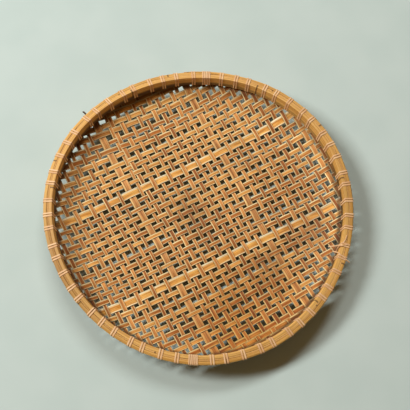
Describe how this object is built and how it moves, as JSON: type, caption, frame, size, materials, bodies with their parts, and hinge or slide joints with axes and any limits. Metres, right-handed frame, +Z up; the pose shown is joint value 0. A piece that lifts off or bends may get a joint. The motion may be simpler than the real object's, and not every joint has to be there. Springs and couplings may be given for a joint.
{
  "type": "woven gathering tray",
  "caption": "Large round shallow tray of split bamboo: an openwork woven mat pressed between two bent hoops and laced to them round the rim.",
  "frame": {"origin": "under the middle of the tray's outline, on the ground the mat rests on", "axes": "+Z up out of the open side; +X along one set of splints, +Y along the other"},
  "size_m": [0.7646, 0.7648, 0.0678],
  "materials": {
    "mat_splints": "matte",
    "wide_splints_x": "satin",
    "wide_splints_y": "satin",
    "hoops": "satin",
    "filler": "satin",
    "cane": "satin",
    "dark_splint": "matte"
  },
  "bodies": {
    "root": {"woven_mat": "mat_splints", "wide_splint_x_front": "wide_splints_x", "wide_splint_x_rear": "wide_splints_x", "wide_splint_y_left": "wide_splints_y", "wide_splint_y_right": "wide_splints_y", "outer_hoop": "hoops", "inner_hoop": "hoops", "rim_filler_strip": "filler", "rim_lacing_01": "cane", "rim_lacing_02": "cane", "rim_lacing_03": "cane", "rim_lacing_04": "cane", "rim_lacing_05": "cane", "rim_lacing_06": "cane", "rim_lacing_07": "cane", "rim_lacing_08": "cane", "rim_lacing_09": "cane", "rim_lacing_10": "cane", "rim_lacing_11": "cane", "rim_lacing_12": "cane", "outer_hoop_joint_binding": "cane", "inner_hoop_joint_binding": "cane", "broken_lashing": "cane", "broken_splint_end": "dark_splint"}
  },
  "joints": []
}
